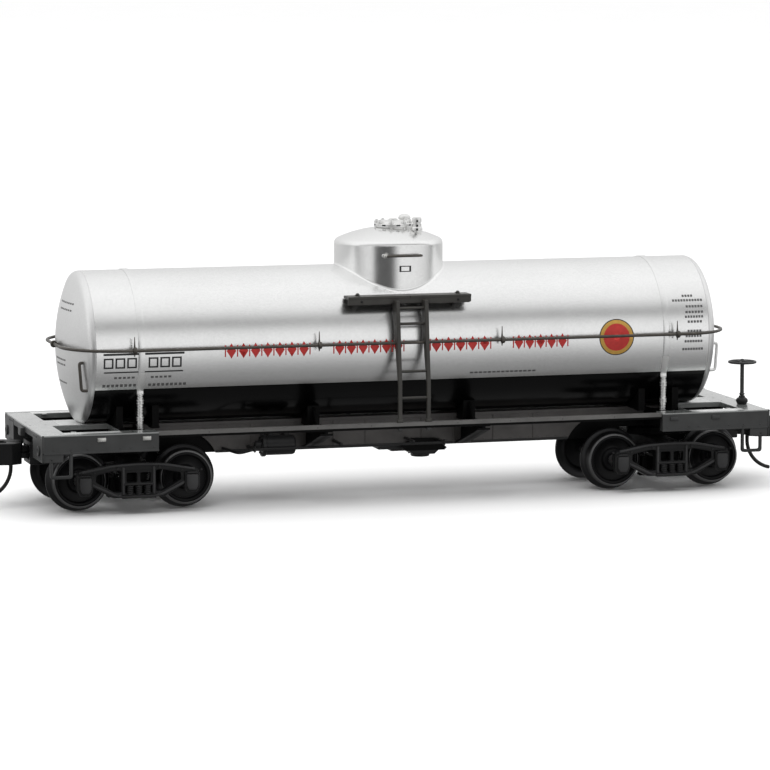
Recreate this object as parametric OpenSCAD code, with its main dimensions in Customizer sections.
// Single-dome model tank wagon for 9 mm gauge track, in millimetres.
// Origin: on the ground below the middle of the wagon. +X points to the brake-wheel end.
// End "a" is the -X end and end "b" the +X end. The ground is the underside of the wheel flanges.

/* [Running gear] */
// Wheel diameter on the tread
wheel_d = 5.3; // [5.2:0.05:5.4]
// Height of the wheel flange
flange_h = 0.47; // [0.4:0.01:0.5]
// Distance between the inner faces of the two wheels of an axle
back_to_back = 7.5; // [7.4:0.05:7.6]
// Width of a wheel, flange included
wheel_w = 1.7; // [1.6:0.05:1.75]
// Distance between the two axles of a truck
wheelbase = 10.5; // [10.3:0.1:10.6]
// Distance between the two truck pivots
truck_centres = 54.5; // [54:0.1:55]
// Diameter of the axle between the wheels
axle_d = 1.2; // [1:0.05:1.3]
// Diameter of the journals at the axle's ends
journal_d = 0.8; // [0.7:0.02:0.84]
// Distance over the outer faces of a truck's side frames
truck_w = 16; // [15.9:0.1:16.2]

/* [Frame] */
// Length over the end sills
frame_l = 74; // [73.6:0.2:75]
// Width over the end platforms
frame_w = 19.2; // [19:0.1:19.4]
// Height of the deck above the rail
deck_h = 7.72; // [7.6:0.02:7.8]
// Thickness of the deck
deck_t = 0.52; // [0.45:0.01:0.55]
// Half of the length between the two end platforms
platform_x = 25.6; // [25.4:0.1:25.8]
// Width of the centre sill
sill_w = 4.2; // [4:0.1:4.3]
// Height of the centre sill's deep part above the rail
sill_low = 4.45; // [4.3:0.05:4.6]
// Height of the centre sill's shallow ends above the rail
sill_high = 6.45; // [6.4:0.05:6.6]

/* [Tank] */
// Outer radius of the tank
tank_r = 7.46; // [7.4:0.01:7.5]
// Height of the tank's axis above the rail
tank_h = 15.09; // [15:0.01:15.2]
// Half length of the tank between its heads
barrel_x = 31.2; // [31:0.1:31.4]
// Depth of a dished tank head
head_depth = 2.2; // [2.1:0.1:2.6]
// Wall thickness of the tank
wall = 0.6; // [0.5:0.05:0.7]
// Height above the rail of the seam between the black and the silver half
seam_h = 11.55; // [11.4:0.05:11.7]

/* [Dome] */
// Outer radius of the dome
dome_r = 5.4; // [5.35:0.05:5.5]
// Height of the dome's wall above the rail
dome_wall_h = 24.6; // [24.4:0.1:24.8]
// Rise of the dome's lid above its wall
lid_rise = 1.6; // [1.4:0.1:1.7]
// Radius of the manway cover's flange
manway_r = 1.9; // [1.8:0.05:1.95]
// Number of bolts around the manway cover
manway_bolts = 8; // [6:1:10]

/* [Fittings] */
// Diameter of the handrail and grab wires
wire_d = 0.35; // [0.3:0.01:0.4]
// Height of the handrail above the rail
handrail_h = 15.45; // [15.3:0.05:15.6]
// Distance of the handrail from the wagon's middle plane
handrail_y = 8.4; // [8.35:0.05:8.5]
// Distance of the handrail's end runs from the wagon's middle
handrail_x = 33.85; // [33.85:0.05:34.2]
// Radius of the handrail's corners
handrail_bend = 4.5; // [4:0.1:4.6]
// Length of the walkboards beside the dome
walk_l = 12.5; // [12.3:0.1:12.7]
// Height of the walkboards above the rail
walk_h = 20; // [19.9:0.05:20.1]
// Diameter of the brake wheel
brake_wheel_d = 2.9; // [2.7:0.05:3]
// Height of the brake wheel above the rail
brake_wheel_h = 12; // [11.8:0.05:12.2]

/* [Hidden] */

$fn = 64;
// Clearance of a shaft that turns in a bore, on its radius
running = 0.05;
// Height of the rail's top above the ground
rail = flange_h;
// Wheels
tread_r = wheel_d / 2;
flange_r = tread_r + flange_h;
axle_z = rail + tread_r;
wheel_in = back_to_back / 2;
wheel_out = wheel_in + wheel_w;
truck_x = truck_centres / 2;
// Side frames
side_out = truck_w / 2;
side_in = side_out - 1.1;
journal_end = side_in + 0.5;
// Frame
frame_x = frame_l / 2;
frame_y = frame_w / 2;
deck_top = rail + deck_h;
deck_under = deck_top - deck_t;
sill_y = sill_w / 2;
sill_top = rail + 7.55;
beam_in = frame_x - 2.1;
// Half length of the centre sill's deep part, and the radius of the arches over the inner wheels
deep_x = 18.6;
arch_r = 4.2;
kingpin_r = 0.8;
window_x = [29, frame_x - 2.5];
window_y = [sill_y, 7.6];
side_sill_low = rail + 5.9;
end_sill_low = rail + 5.1;
notch_y = 5;
bracket_x = [26.8, 31.2];
rail_y = [8.6, 9.4];
plate_low = rail + 5.4;
// Crossbearers
bearer_x = [-8.9, 7.1];
bearer_w = 1.3;
// Brake gear: height of the rods and of the cylinder and reservoir
rod_z = rail + 5;
gear_z = rail + 5.2;
lever_x = [-15.15, 4.2];
lever_w = 0.4;
lever_y = -5;
// Tank
tank_z = rail + tank_h;
tank_in = tank_r - wall;
seam_z = rail + seam_h;
knuckle = 0.8;
// Top of the bed below the tank's axis, and the ribs that hold the weight on it
bed_drop = 5.2;
rib_x = 18;
band_x = 26.75;
band_w = 0.65;
band_t = 0.18;
band_foot_y = 6.2;
saddle_x = [24.6, 28.15];
saddle_w = 0.7;
saddle_y = 5.2;
// Dome
dome_top = rail + dome_wall_h;
manway_x = 0.5;
lid_edge = 0.5;
// Fittings
handrail_z = rail + handrail_h;
stanchion_x = [9.3, 27.6];
ladder_x = 1.45;
stile_w = 0.45;
ladder_y = 9.2;
rung_h = [10.1, 12.7, 17.3, 18.8];
post_at = [5.1, 6.9];
step_x = [34, 36.2];
step_y = [9.2, 9.56];
step_low = rail + 3.5;
step_bar = 0.36;
staff = [35.95, -4.5];
staff_r = 0.2;
// Couplers, along the truck's own axis
post_x = 7.4;
post_r = 0.45;
box_x = [6.1, 9.4];
box_z = [rail + 3.9, rail + 6.1];
shank_z = [rail + 4.4, rail + 5.0, rail + 5.6];
head_x = 9.8;
head_z = rail + 3.95;
head_h = 2.1;
pin_x = 10.9;

// Colours
silver = [0.8, 0.8, 0.8];
gloss_black = [0.05, 0.05, 0.05];
frame_grey = [0.23, 0.24, 0.24];
dark = [0.12, 0.12, 0.13];
steel = [0.55, 0.55, 0.56];

// ---- helpers ----

// A box between two corners, given as ranges along X, Y and Z
module block(x, y, z)
    translate([x[0], y[0], z[0]])
        cube([x[1] - x[0], y[1] - y[0], z[1] - z[0]]);

// The child and its mirror image on the other side
module both_sides() {
    children();
    mirror([0, 1, 0]) children();
}

// The child and its mirror image at the other end
module both_ends() {
    children();
    mirror([1, 0, 0]) children();
}

// Places a truck's part: end is -1 for a and 1 for b, and +X points away from the wagon's middle
module at_truck(end)
    translate([end * truck_x, 0, 0])
        rotate(end < 0 ? 180 : 0)
            children();

// A round rod between two points
module rod(a, b, d) {
    v = b - a;
    translate(a)
        rotate([0, acos(v[2] / norm(v)), atan2(v[1], v[0])])
            cylinder(d = d, h = norm(v), $fn = 24);
}

// A wire through a list of points, with slightly thicker elbows
module wire(points, d = wire_d) {
    for (i = [1 : len(points) - 1])
        rod(points[i - 1], points[i], d);
    for (i = [1 : len(points) - 2])
        translate(points[i]) sphere(d = 1.1 * d, $fn = 24);
}

// A shape drawn in X and Z, extruded along Y from y0 to y1
module upright(y0, y1)
    translate([0, y1, 0])
        rotate([90, 0, 0])
            linear_extrude(y1 - y0)
                children();

// A solid cap with a shallow crown and a rounded edge, standing on Z = 0
module dished_cap(r, rise, edge) {
    crown = (pow(r - edge, 2) + pow(rise, 2) - pow(edge, 2)) / (2 * (rise - edge));
    turn = asin((r - edge) / (crown - edge));
    rotate_extrude()
        polygon(concat(
            [[0, 0]],
            [for (i = [0 : 6]) let (a = i * (90 - turn) / 6)
                [r - edge + edge * cos(a), edge * sin(a)]],
            [for (i = [1 : 12]) let (a = turn * (1 - i / 12))
                [crown * sin(a), rise - crown + crown * cos(a)]]));
}

// The space that the tank fills
module tank_space()
    translate([0, 0, tank_z])
        rotate([0, 90, 0])
            cylinder(r = tank_r, h = 2 * barrel_x, center = true, $fn = 128);

// ---- tank ----

module barrel_shell()
    translate([0, 0, tank_z])
        rotate([0, 90, 0])
            difference() {
                cylinder(r = tank_r, h = 2 * barrel_x, center = true, $fn = 128);
                cylinder(r = tank_in, h = 2 * barrel_x + 1, center = true, $fn = 128);
            }

module tank_upper()
    color(silver)
        intersection() {
            barrel_shell();
            block([-40, 40], [-10, 10], [seam_z, seam_z + 30]);
        }

module tank_lower()
    color(gloss_black)
        intersection() {
            union() {
                barrel_shell();
                // Ribs that carry the weight
                for (x = [-rib_x, rib_x])
                    translate([x, 0, tank_z])
                        rotate([0, 90, 0])
                            cylinder(r = tank_in + 0.1, h = 1, center = true, $fn = 128);
            }
            union() {
                block([-40, 40], [-10, 10], [rail, tank_z - bed_drop]);
                difference() {
                    block([-40, 40], [-10, 10], [rail, seam_z]);
                    translate([0, 0, tank_z])
                        rotate([0, 90, 0])
                            cylinder(r = tank_in, h = 90, center = true, $fn = 128);
                }
            }
        }

module tank_head(end)
    color(silver)
        translate([end * barrel_x, 0, tank_z])
            rotate([0, end * 90, 0]) {
                difference() {
                    dished_cap(tank_r, head_depth, knuckle, $fn = 96);
                    translate([0, 0, -0.01])
                        dished_cap(tank_in, head_depth - wall, knuckle / 2, $fn = 96);
                }
                // Spigot that centres the head in the barrel
                translate([0, 0, -1])
                    difference() {
                        cylinder(r = tank_in - 0.03, h = 1.3, $fn = 96);
                        translate([0, 0, -1]) cylinder(r = tank_in - 0.5, h = 4, $fn = 96);
                    }
            }

module tank_head_a() tank_head(-1);
module tank_head_b() tank_head(1);

module tank_weight()
    color(steel)
        block([-24, 24], [-4, 4], [tank_z - bed_drop, tank_z - bed_drop + 3]);

// ---- dome ----

module dome_wall()
    color(silver)
        difference() {
            translate([0, 0, tank_z])
                cylinder(r = dome_r, h = dome_top - tank_z, $fn = 96);
            translate([0, 0, tank_z])
                cylinder(r = dome_r - wall, h = dome_top - tank_z + 1, $fn = 96);
            tank_space();
        }

module dome_lid()
    color(silver)
        translate([0, 0, dome_top])
            difference() {
                dished_cap(dome_r, lid_rise, lid_edge, $fn = 96);
                translate([0, 0, -0.01])
                    dished_cap(dome_r - wall, lid_rise - wall, 0.4, $fn = 96);
            }

module manway_cover()
    color(silver)
        difference() {
            translate([manway_x, 0, dome_top + 1]) {
                cylinder(r = manway_r, h = 1);
                cylinder(r = manway_r - 0.35, h = 1.2);
                cylinder(r = 0.45, h = 1.4);
                for (i = [1 : manway_bolts])
                    rotate(i * 360 / manway_bolts)
                        translate([manway_r - 0.3, 0, 0])
                            cylinder(d = 0.42, h = 1.3, $fn = 24);
            }
            translate([0, 0, dome_top]) dished_cap(dome_r, lid_rise, lid_edge, $fn = 96);
        }

module safety_valves()
    color(silver)
        difference() {
            union() {
                translate([2.2, 1.85, dome_top + 0.6]) {
                    cylinder(r = 0.62, h = 1.2);
                    cylinder(r = 0.5, h = 1.7);
                    translate([0, 0, 1.7]) sphere(r = 0.5, $fn = 32);
                }
                translate([2.35, -2, dome_top + 0.6]) {
                    cylinder(r = 0.42, h = 2.05);
                    cylinder(r = 0.55, h = 1);
                }
            }
            translate([0, 0, dome_top]) dished_cap(dome_r, lid_rise, lid_edge, $fn = 96);
        }

// ---- wires on the tank ----

// Distance of the dome's wall from the middle plane at x, and of a head's face from the barrel's end
function dome_y(x) = sqrt(dome_r * dome_r - x * x);
head_crown = (pow(tank_r - knuckle, 2) + pow(head_depth, 2) - pow(knuckle, 2))
    / (2 * (head_depth - knuckle));
function head_face(y, z) = head_depth - head_crown + sqrt(head_crown * head_crown - y * y - z * z);

// Grab wires on the dome, and one on each head
module grab_irons() {
    grab_z = rail + 23.7;
    grab_y = 6.1;
    color(silver)
        both_sides()
            wire([[-1.9, dome_y(1.9), grab_z], [-1.9, 5.9, grab_z],
                [1.8, 5.9, grab_z], [1.8, dome_y(1.8), grab_z]], 0.3);
    color(dark)
        both_ends()
            wire([[barrel_x + head_face(grab_y, -0.9), -grab_y, tank_z - 0.9],
                [barrel_x + 1.4, -grab_y, tank_z - 0.9], [barrel_x + 1.25, -grab_y, tank_z - 3.6],
                [barrel_x + 0.75, -grab_y, tank_z - 3.6]], 0.3);
}

// The space that a tank head fills
module head_space()
    translate([barrel_x, 0, tank_z])
        rotate([0, 90, 0]) {
            dished_cap(tank_r, head_depth, knuckle, $fn = 96);
            translate([0, 0, -2]) cylinder(r = tank_r, h = 2.1, $fn = 96);
        }

module tank_band(end)
    color(silver) {
        translate([end * band_x, 0, tank_z])
            rotate([0, 90, 0])
                rotate(60)
                    rotate_extrude(angle = 240, $fn = 128)
                        translate([tank_r, -band_w / 2])
                            square([band_t, band_w]);
        both_sides() {
            foot = tank_r * cos(30);
            low = tank_z - tank_r * sin(30);
            // Strap down to the frame, and its turnbuckle
            translate([end * band_x - band_w / 2, 0, 0])
                rotate([90, 0, 90])
                    linear_extrude(band_w)
                        polygon([[band_foot_y, sill_top], [band_foot_y + 0.25, sill_top],
                            [foot + band_t + 0.12, low + 0.25], [foot + 0.02, low - 0.05]]);
            translate([end * band_x, band_foot_y + 0.14, deck_top + 0.5])
                cylinder(d = 0.75, h = 0.9, $fn = 24);
        }
    }

module tank_band_a() tank_band(-1);
module tank_band_b() tank_band(1);

module handrail_loop(d) {
    straight_x = handrail_x - handrail_bend;
    straight_y = handrail_y - handrail_bend;
    translate([0, 0, handrail_z]) {
        both_sides()
            translate([-straight_x, handrail_y, 0])
                rotate([0, 90, 0])
                    cylinder(d = d, h = 2 * straight_x, $fn = 24);
        both_ends() {
            translate([handrail_x, straight_y, 0])
                rotate([90, 0, 0])
                    cylinder(d = d, h = 2 * straight_y, $fn = 24);
            both_sides()
                translate([straight_x, straight_y, 0])
                    rotate_extrude(angle = 90, $fn = 64)
                        translate([handrail_bend, 0])
                            circle(d = d, $fn = 24);
        }
    }
}

module handrail() color(dark) handrail_loop(wire_d);

module handrail_stanchions()
    color(dark)
        difference() {
            union() {
                both_ends()
                    both_sides()
                        for (x = stanchion_x) {
                            rod([x, tank_r - 0.3, handrail_z], [x, handrail_y, handrail_z], 0.4);
                            translate([x, handrail_y, handrail_z])
                                rotate([0, 90, 0])
                                    cylinder(d = 0.8, h = 0.4, center = true, $fn = 32);
                        }
                both_ends() {
                    rod([barrel_x + head_depth - 0.4, 0, handrail_z], [handrail_x, 0, handrail_z], 0.4);
                    translate([handrail_x, 0, handrail_z])
                        rotate([90, 0, 0])
                            cylinder(d = 0.8, h = 0.4, center = true, $fn = 32);
                }
            }
            handrail_loop(wire_d + 0.02);
            tank_space();
            both_ends() head_space();
        }

// ---- ladders and walkboards ----

// The ladder leans in above lean_z: middle of a stile's depth at height z
lean_z = rail + 11.5;
ladder_top = rail + walk_h - 0.45;
function stile_y(z) = z < lean_z ? ladder_y : ladder_y - 1.35 * (z - lean_z) / (ladder_top - lean_z);

module ladder()
    color(frame_grey)
        difference() {
            union() {
                for (x = [-ladder_x, ladder_x])
                    translate([x - stile_w / 2, 0, 0])
                        rotate([90, 0, 90])
                            linear_extrude(stile_w)
                                polygon([[ladder_y - 0.18, deck_top - 0.02],
                                    [ladder_y + 0.18, deck_top - 0.02],
                                    [ladder_y + 0.18, lean_z], [8.5, ladder_top],
                                    [7.1, ladder_top], [ladder_y - 0.18, lean_z]]);
                for (h = rung_h)
                    rod([-ladder_x, stile_y(rail + h), rail + h],
                        [ladder_x, stile_y(rail + h), rail + h], 0.36);
            }
            handrail_loop(wire_d + 0.06);
        }

module ladder_left() ladder();
module ladder_right() mirror([0, 1, 0]) ladder();

module walkboard()
    color(frame_grey)
        difference() {
            union() {
                block([-walk_l / 2, walk_l / 2], [5.9, 7.8], [ladder_top, rail + walk_h]);
                block([-walk_l / 2, walk_l / 2], [6, 6.4], [ladder_top - 0.45, ladder_top + 0.1]);
                both_ends() {
                    // Front lip beside the ladder
                    block([ladder_x + stile_w, walk_l / 2], [7.4, 7.8], [ladder_top - 0.55, ladder_top + 0.1]);
                    block([post_at[0] - 0.25, post_at[0] + 0.25], [5.6, 7.5],
                        [ladder_top - 0.45, ladder_top + 0.1]);
                    translate([post_at[0], post_at[1], ladder_top]) cylinder(d = 0.5, h = 0.75, $fn = 24);
                }
            }
            tank_space();
            cylinder(r = dome_r, h = 40, $fn = 96);
        }

module walkboard_left() walkboard();
module walkboard_right() mirror([0, 1, 0]) walkboard();

// ---- underframe ----

module centre_sill()
    color(frame_grey)
        difference() {
            upright(-sill_y, sill_y)
                difference() {
                    polygon([[-beam_in, deck_under], [-beam_in, rail + sill_high],
                        [-deep_x, rail + sill_high], [-deep_x, rail + sill_low],
                        [deep_x, rail + sill_low], [deep_x, rail + sill_high],
                        [beam_in, rail + sill_high], [beam_in, deck_under],
                        [window_x[0] - 0.1, deck_under], [window_x[0] - 0.1, sill_top],
                        [0.1 - window_x[0], sill_top], [0.1 - window_x[0], deck_under]]);
                    // Arches over the inner wheels
                    for (x = [-1, 1])
                        translate([x * (truck_x - wheelbase / 2), axle_z]) circle(r = arch_r);
                }
            // Holes for the kingpins
            both_ends() translate([truck_x, 0, rail]) cylinder(r = kingpin_r, h = 8);
        }

module side_rails()
    color(frame_grey)
        both_sides() {
            block([-platform_x, platform_x], rail_y, [deck_top - 0.5, deck_top - 0.02]);
            // Feet of the ladder below the rail
            for (x = [-ladder_x, ladder_x])
                block([x - stile_w / 2, x + stile_w / 2], [9, 9.35], [deck_top - 0.85, deck_top - 0.4]);
        }

module end_platform(end)
    color(frame_grey)
        mirror([end < 0 ? 1 : 0, 0, 0]) {
            // Deck with its two windows
            difference() {
                block([window_x[0] - 0.1, frame_x], [-frame_y, frame_y], [deck_under, deck_top]);
                both_sides() block(window_x, window_y, [rail, deck_top + 1]);
                // Hollow under the tank's end
                tank_space();
                head_space();
            }
            both_sides() {
                // Side sill
                block([platform_x, frame_x], [frame_y - 0.8, frame_y], [side_sill_low, deck_top - 0.02]);
                // Inner lip of the side sill, beside the tank
                block([platform_x, window_x[0]], [7.6, frame_y - 0.5], [deck_under, deck_top]);
                // Light brackets on the sill's face
                for (x = bracket_x)
                    block([x - 0.45, x + 0.45], [frame_y - 0.2, frame_y + 0.12],
                        [deck_top - 0.75, deck_top - 0.35]);
                // End sill beside the coupler's notch
                block([beam_in, frame_x], [notch_y, frame_y], [end_sill_low, deck_top - 0.02]);
            }
            // End sill above the notch
            block([beam_in, frame_x], [-notch_y - 0.5, notch_y + 0.5], [rail + 7, deck_top - 0.02]);
            // Striker plate over the coupler
            block([frame_x - 0.1, frame_x + 0.35], [-0.7, 0.7], [rail + 6.6, deck_top - 0.3]);
        }

module end_platform_a() end_platform(-1);
module end_platform_b() end_platform(1);

module body_bolsters()
    color(frame_grey)
        both_ends() {
            both_sides()
                // Tapered arm from the centre sill to the side sill
                translate([truck_x - 0.95, 0, 0])
                    rotate([90, 0, 90])
                        linear_extrude(1.9)
                            polygon([[sill_y, rail + 5.6], [sill_y, sill_top], [6.6, sill_top],
                                [7.6, deck_under], [frame_y - 0.8, deck_under],
                                [frame_y - 0.8, side_sill_low + 0.4]]);
            // Centre plate below the sill, around the kingpin
            translate([truck_x, 0, plate_low])
                difference() {
                    cylinder(r = 2, h = rail + sill_high - plate_low);
                    translate([0, 0, -1]) cylinder(r = kingpin_r, h = 4);
                }
        }

module tank_saddles()
    color(frame_grey)
        difference() {
            both_ends() {
                // Cradle plates across the sill, on each side of the truck's pivot
                for (x = saddle_x)
                    block([x, x + saddle_w], [-saddle_y, saddle_y], [sill_top, rail + 10]);
            }
            tank_space();
        }

module crossbearers()
    color(frame_grey)
        for (x = bearer_x) {
            both_sides() {
                translate([x - bearer_w / 2, 0, 0])
                    rotate([90, 0, 90])
                        linear_extrude(bearer_w)
                            polygon([[sill_y, rail + 4.5], [sill_y, deck_top - 0.5],
                                [rail_y[1] - 0.1, deck_top - 0.5], [rail_y[1] - 0.1, rail + 6.7]]);
                // Bracket up to the tank's side
                difference() {
                    block([x - bearer_w / 2, x + bearer_w / 2], [sill_y, 4.4],
                        [deck_top - 0.6, rail + 8.9]);
                    tank_space();
                }
            }
        }

module stirrup_steps()
    color(frame_grey)
        both_ends()
            both_sides() {
                block([step_x[0], step_x[0] + step_bar], step_y, [step_low, side_sill_low]);
                block([step_x[1] - step_bar, step_x[1]], step_y, [step_low, end_sill_low]);
                block(step_x, step_y, [step_low, step_low + step_bar]);
            }

module kingpins()
    color(steel)
        both_ends()
            translate([truck_x, 0, 0]) {
                translate([0, 0, rail + 3.1]) cylinder(r = kingpin_r, h = 3.9);
                translate([0, 0, rail + 2.6]) cylinder(r = 1.2, h = 0.6);
            }

// ---- underbody ----

module brake_cylinder()
    color(frame_grey) {
        translate([-14, -3.5, gear_z])
            rotate([0, 90, 0]) {
                cylinder(r = 1, h = 3.4);
                cylinder(r = 1.1, h = 0.4);
                translate([0, 0, -0.7]) cylinder(r = 0.5, h = 1);
            }
        for (x = [-13.2, -11.6])
            block([x, x + 0.5], [-3.4, -sill_y], [rail + 4.9, rail + 6.4]);
    }

module air_reservoir()
    color(frame_grey) {
        translate([-17, 3.7, gear_z])
            rotate([0, 90, 0]) {
                cylinder(r = 1.25, h = 6);
                translate([0, 0, -0.3]) cylinder(r = 0.8, h = 6.6);
            }
        for (x = [-16, -12])
            block([x, x + 0.5], [sill_y, 3.6], [rail + 4.9, rail + 6.5]);
    }

module brake_rods()
    color(frame_grey) {
        // Live and dead levers, and the bent rod to the truck
        for (x = lever_x)
            block([x, x + lever_w], [lever_y, -sill_y], [rod_z - 0.2, rod_z + 0.2]);
        wire([[-15, -4.7, rod_z], [-16.4, -4.2, rail + 4.2], [-17.6, -sill_y - 0.2, rail + 4.9]], 0.4);
        // Long rod between the levers
        rod([-14.9, -4.8, rod_z], [4.4, -4.8, rod_z], 0.3);
        // Hangers of the long rod
        for (x = [-6.4, 1])
            block([x, x + 0.3], [-5.1, -sill_y], [rod_z + 0.1, rod_z + 0.35]);
    }

module bottom_outlet()
    color(frame_grey) {
        upright(-1.5, 1.5)
            polygon([[1.2, rail + sill_low], [5.5, rail + sill_low], [4.7, rail + 3.7],
                [4.4, rail + 3.07], [2.2, rail + 3.07], [1.9, rail + 3.7]]);
        // Stepped pads beside it
        block([-1.4, 2.2], [-1.3, 1.3], [rail + 4, rail + sill_low]);
        block([0, 2.2], [-1, 1], [rail + 3.75, rail + 4.2]);
    }

// ---- hand brake ----

module brake_staff_foot()
    color(frame_grey)
        translate([staff[0], staff[1], deck_top])
            difference() {
                union() {
                    cylinder(r = 0.62, h = 0.55);
                    cylinder(r = 0.42, h = 0.85);
                }
                translate([0, 0, -1]) cylinder(r = staff_r + running, h = 3, $fn = 32);
            }

module brake_staff()
    color(frame_grey)
        translate([staff[0], staff[1], 0]) {
            translate([0, 0, deck_top + running])
                cylinder(r = staff_r, h = rail + brake_wheel_h + 0.3 - deck_top - running, $fn = 32);
            translate([0, 0, deck_top + 0.95]) cylinder(r = 0.36, h = 0.25, $fn = 32);
        }

module brake_wheel()
    color(frame_grey)
        translate([staff[0], staff[1], rail + brake_wheel_h])
            difference() {
                union() {
                    rotate_extrude()
                        translate([brake_wheel_d / 2 - 0.15, 0]) circle(d = 0.3, $fn = 24);
                    for (i = [0 : 4])
                        rotate(72 * i)
                            rotate([0, 90, 0])
                                cylinder(d = 0.2, h = brake_wheel_d / 2 - 0.15, $fn = 16);
                    translate([0, 0, -0.2]) cylinder(r = 0.42, h = 0.4);
                }
                translate([0, 0, -1]) cylinder(r = staff_r, h = 3, $fn = 32);
            }

// ---- trucks, drawn around the truck's pivot with +X away from the wagon's middle ----

module truck_bolster()
    color(dark)
        difference() {
            union() {
                block([-1.1, 1.1], [-side_in, side_in], [rail + 3.3, rail + 4.6]);
                translate([0, 0, rail + 4.5]) cylinder(r = 2, h = plate_low - running - rail - 4.5);
                // Tongue that carries the draft box, over the outer axle
                block([1, box_x[0]], [-1.6, 1.6], [rail + 3.9, rail + 4.6]);
            }
            translate([0, 0, rail]) cylinder(r = kingpin_r + running, h = 8);
        }

// Cast side frame: outline in X and Z, heights above the rail
module side_frame_outline() {
    half = wheelbase / 2;
    difference() {
        polygon([[-half - 0.75, 1.5], [-half - 0.75, 3.9], [-2.6, 4.4], [0, 4.55], [2.6, 4.4],
            [half + 0.75, 3.9], [half + 0.75, 1.5], [half - 0.75, 1.5], [half - 0.75, 2.3],
            [2.5, 1.2], [-2.5, 1.2], [0.75 - half, 2.3], [0.75 - half, 1.5]]);
        // Windows
        for (s = [-1, 1])
            polygon([[s * 1.75, 2], [s * 1.75, 3.85], [s * 4.1, 3.5], [s * 4.1, 2.85]]);
        polygon([[-1.2, 2.65], [-1.2, 3.6], [1.2, 3.6], [1.2, 2.65]]);
    }
}

module side_frames()
    color(dark)
        both_sides()
            difference() {
                union() {
                    translate([0, 0, rail])
                        upright(side_in, side_out) side_frame_outline();
                    // Journal boxes
                    for (x = [-1, 1])
                        block([x * wheelbase / 2 - 0.75, x * wheelbase / 2 + 0.75],
                            [side_in, side_out + 0.27], [rail + 1.5, rail + 3.6]);
                    // Spring plank and springs
                    block([-1.7, 1.7], [side_in, side_out + 0.2], [rail + 1.15, rail + 1.5]);
                    for (x = [-0.85, 0, 0.85])
                        translate([x, side_out - 0.1, rail + 1.4]) cylinder(d = 0.7, h = 1.2, $fn = 24);
                    // Bolster end between the windows
                    block([-0.15, 0.15], [side_in, side_out + 0.1], [rail + 2.6, rail + 3.7]);
                }
                for (x = [-1, 1])
                    translate([x * wheelbase / 2, side_in - 1, axle_z])
                        rotate([-90, 0, 0])
                            cylinder(r = journal_d / 2 + running, h = journal_end - side_in + 1.1);
            }

module brake_beams()
    color(dark)
        for (s = [-1, 1]) {
            // Beam across the truck, with a shoe at each wheel
            block([s * 1.5 - 0.25, s * 1.5 + 0.25], [-side_in, side_in], [rail + 2.2, rail + 2.7]);
            both_sides()
                translate([s * 2, 5, rail + 2.45])
                    rotate([90, 0, 0])
                        cylinder(r = 0.42, h = 0.9, center = true, $fn = 24);
        }

module truck_bolster_a() at_truck(-1) truck_bolster();
module side_frames_a() at_truck(-1) side_frames();
module brake_beams_a() at_truck(-1) brake_beams();
module truck_bolster_b() at_truck(1) truck_bolster();
module side_frames_b() at_truck(1) side_frames();
module brake_beams_b() at_truck(1) brake_beams();

// ---- wheelsets; s is 1 for a truck's outer axle and -1 for its inner one ----

module axle(end, s)
    color(steel)
        at_truck(end)
            translate([s * wheelbase / 2, 0, axle_z])
                rotate([90, 0, 0]) {
                    cylinder(d = axle_d, h = 2 * (side_in - 0.1), center = true, $fn = 48);
                    cylinder(d = journal_d, h = 2 * (journal_end - 0.05), center = true, $fn = 48);
                }

// Wheel profile turned about the axle: flange, tread, rim ring and recessed plate
module wheel_pair(end, s)
    color(dark)
        at_truck(end)
            both_sides()
                translate([s * wheelbase / 2, wheel_in, axle_z])
                    rotate([-90, 0, 0])
                        rotate_extrude($fn = 96)
                            polygon([[axle_d / 2, 0], [flange_r - 0.1, 0], [flange_r, 0.15], [flange_r, 0.3],
                                [tread_r + 0.12, 0.6], [tread_r, 0.75], [tread_r - 0.05, wheel_w],
                                [tread_r - 0.5, wheel_w], [tread_r - 0.6, wheel_w - 0.4],
                                [1.15, wheel_w - 0.4], [1.05, wheel_w - 0.1], [axle_d / 2, wheel_w - 0.1]]);

module axle_a_outer() axle(-1, 1);
module wheels_a_outer() wheel_pair(-1, 1);
module axle_a_inner() axle(-1, -1);
module wheels_a_inner() wheel_pair(-1, -1);
module axle_b_inner() axle(1, -1);
module wheels_b_inner() wheel_pair(1, -1);
module axle_b_outer() axle(1, 1);
module wheels_b_outer() wheel_pair(1, 1);

// ---- couplers ----

module draft_box()
    color(dark) {
        difference() {
            block(box_x, [-1.75, 1.75], box_z);
            block([box_x[0] + 0.4, box_x[1] + 1], [-1.3, 1.3], [shank_z[0] - 0.05, shank_z[2] + 0.05]);
        }
        // Post that the coupler swings on
        translate([post_x, 0, box_z[0] + 0.1])
            cylinder(r = post_r, h = box_z[1] - box_z[0] - 0.2, $fn = 32);
    }

// One half of the coupler's shank, with its eye around the post
module shank_half(z0, z1, end_x)
    difference() {
        union() {
            translate([post_x, 0, z0]) cylinder(r = 0.85, h = z1 - z0);
            block([post_x, end_x], [-0.5, 0.5], [z0, z1]);
        }
        translate([post_x, 0, z0 - 1]) cylinder(r = post_r + running, h = z1 - z0 + 2, $fn = 32);
    }

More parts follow.
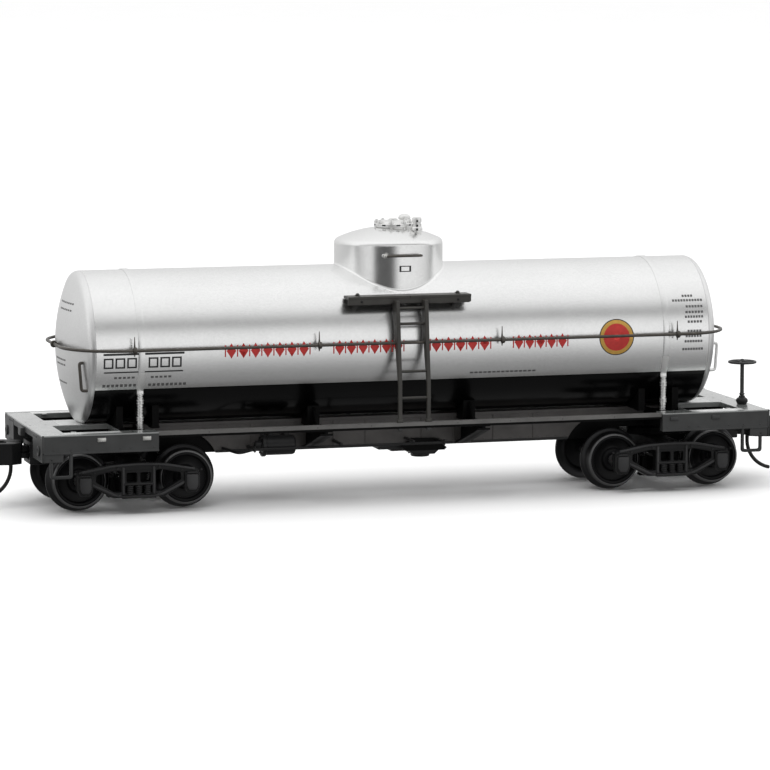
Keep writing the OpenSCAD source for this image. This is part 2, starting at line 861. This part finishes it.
// Upper half: shank, head block, guard arm and the socket of the trip pin
module coupler_half()
    color(dark)
        difference() {
            union() {
                shank_half(shank_z[1] + 0.03, shank_z[2], head_x + 0.1);
                translate([0, 0, head_z])
                    linear_extrude(head_h)
                        polygon([[head_x, -1], [head_x, 0.1], [11.4, 0.1], [11.5, -0.7],
                            [12.9, -1.5], [13.3, -2.1], [12.9, -2.3], [11.4, -1.9]]);
            }
            // Room for the other half's shank
            block([head_x - 1, head_x + 0.7], [-0.7, 1], [shank_z[0] - 0.1, shank_z[1] + 0.03]);
            translate([pin_x, -0.4, rail + 3]) cylinder(r = 0.2, h = 2.2, $fn = 24);
        }

// Lower half: shank and the hooked knuckle
module knuckle_half()
    color(dark) {
        shank_half(shank_z[0], shank_z[1] - 0.03, head_x + 0.6);
        translate([0, 0, head_z])
            linear_extrude(head_h)
                polygon([[head_x + 0.3, 0.25], [head_x + 0.3, 1.3], [11.2, 1.9], [12.7, 1.7],
                    [13.2, 1.1], [13.2, 0.2], [12.6, -0.1], [12.3, 0.1], [12.3, 0.9], [11.6, 1],
                    [11.5, 0.25]]);
    }

// Curved wire that a magnet between the rails pulls aside
module trip_pin()
    color(dark)
        translate([pin_x, -0.4, 0]) {
            translate([0, 0, rail + 3.5]) cylinder(r = 0.2, h = 1.7, $fn = 24);
            translate([3, 0, rail + 3.5])
                rotate([90, 0, 0])
                    rotate_extrude(angle = 80, start = 180, $fn = 96)
                        translate([3, 0]) circle(r = 0.2, $fn = 24);
        }

// Small spring beside the upper shank
module knuckle_spring()
    color(steel)
        translate([head_x - 1.7, -0.73, shank_z[1] + 0.3])
            rotate([0, 90, 0])
                rotate_extrude($fn = 32)
                    translate([0.12, 0]) square([0.1, 1]);

module draft_box_a() at_truck(-1) draft_box();
module coupler_a() at_truck(-1) coupler_half();
module knuckle_a() at_truck(-1) knuckle_half();
module trip_pin_a() at_truck(-1) trip_pin();
module knuckle_spring_a() at_truck(-1) knuckle_spring();
module draft_box_b() at_truck(1) draft_box();
module coupler_b() at_truck(1) coupler_half();
module knuckle_b() at_truck(1) knuckle_half();
module trip_pin_b() at_truck(1) trip_pin();
module knuckle_spring_b() at_truck(1) knuckle_spring();

tank_upper();
tank_lower();
tank_head_a();
tank_head_b();
tank_weight();
dome_wall();
dome_lid();
manway_cover();
safety_valves();
grab_irons();
tank_band_a();
tank_band_b();
handrail();
handrail_stanchions();
ladder_left();
ladder_right();
walkboard_left();
walkboard_right();
centre_sill();
side_rails();
end_platform_a();
end_platform_b();
body_bolsters();
tank_saddles();
crossbearers();
stirrup_steps();
kingpins();
brake_cylinder();
air_reservoir();
brake_rods();
bottom_outlet();
brake_staff_foot();
brake_staff();
brake_wheel();
truck_bolster_a();
side_frames_a();
brake_beams_a();
truck_bolster_b();
side_frames_b();
brake_beams_b();
axle_a_outer();
wheels_a_outer();
axle_a_inner();
wheels_a_inner();
axle_b_inner();
wheels_b_inner();
axle_b_outer();
wheels_b_outer();
draft_box_a();
coupler_a();
knuckle_a();
trip_pin_a();
knuckle_spring_a();
draft_box_b();
coupler_b();
knuckle_b();
trip_pin_b();
knuckle_spring_b();
